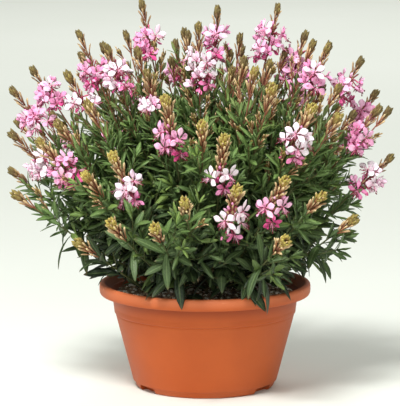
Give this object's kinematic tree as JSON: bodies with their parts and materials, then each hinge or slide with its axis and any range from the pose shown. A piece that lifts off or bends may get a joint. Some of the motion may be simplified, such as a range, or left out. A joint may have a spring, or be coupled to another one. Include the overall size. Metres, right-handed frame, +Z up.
{
  "type": "potted gaura",
  "caption": "Bushy flowering gaura in a round plastic pot: leafy stems fan out from the soil and end in bud spikes above pale and pink four-petalled flowers.",
  "frame": {"origin": "centre of the pot's underside", "axes": "+Z up along the pot's axis, -Y towards the viewer of the picture's side, +X to that viewer's right"},
  "size_m": [0.454, 0.421, 0.46],
  "materials": {
    "terracotta_plastic": "orange terracotta-coloured moulded plastic, soft sheen",
    "soil": "dark damp potting soil with bark and pale perlite",
    "foliage": "green leaves and stems, soft waxy sheen",
    "blush_petal": "thin white petals flushed with pink",
    "pink_petal": "thin pink petals with deeper veins"
  },
  "bodies": {
    "root": {"pot": "terracotta_plastic", "soil": "soil", "stem_crown": "foliage", "bloom_crown_1": "pink_petal", "bloom_crown_2": "blush_petal", "stem_left_top": "foliage", "bloom_left_top_1": "pink_petal", "bloom_left_top_2": "blush_petal", "stem_left_high": "foliage", "bloom_left_high_1": "pink_petal", "bloom_left_high_2": "blush_petal", "bloom_left_high_3": "pink_petal", "stem_left_low": "foliage", "bloom_left_low_1": "pink_petal", "bloom_left_low_2": "blush_petal", "stem_left_front": "foliage", "bloom_left_front_1": "pink_petal", "bloom_left_front_2": "blush_petal", "stem_left_base": "foliage", "stem_front_high": "foliage", "bloom_front_high_1": "pink_petal", "bloom_front_high_2": "blush_petal", "stem_front_middle": "foliage", "bloom_front_middle_1": "blush_petal", "stem_front_low_left": "foliage", "stem_front_low_right": "foliage", "bloom_front_low_right_1": "blush_petal", "bloom_front_low_right_2": "pink_petal", "stem_right_front": "foliage", "stem_right_middle": "foliage", "bloom_right_middle_1": "blush_petal", "stem_right_inner": "foliage", "stem_right_top": "foliage", "bloom_right_top_1": "pink_petal", "stem_right_high": "foliage", "bloom_right_high_1": "pink_petal", "bloom_right_high_2": "pink_petal", "bloom_right_high_3": "pink_petal", "stem_right_low": "foliage", "bloom_right_low_1": "pink_petal", "bloom_right_low_2": "pink_petal", "bloom_right_low_3": "blush_petal", "stem_back_right_high": "foliage", "bloom_back_right_high_1": "pink_petal", "bloom_back_right_high_2": "blush_petal", "bloom_back_right_high_3": "pink_petal", "stem_back_left_high": "foliage", "bloom_back_left_high_1": "pink_petal", "bloom_back_left_high_2": "blush_petal", "stem_back_right_low": "foliage", "bloom_back_right_low_1": "pink_petal", "bloom_back_right_low_2": "blush_petal", "stem_back_low": "foliage", "bloom_back_low_1": "pink_petal", "bloom_back_low_2": "blush_petal", "stem_back_left_low": "foliage", "bloom_back_left_low_1": "pink_petal", "bloom_back_left_low_2": "blush_petal"}
  },
  "joints": []
}
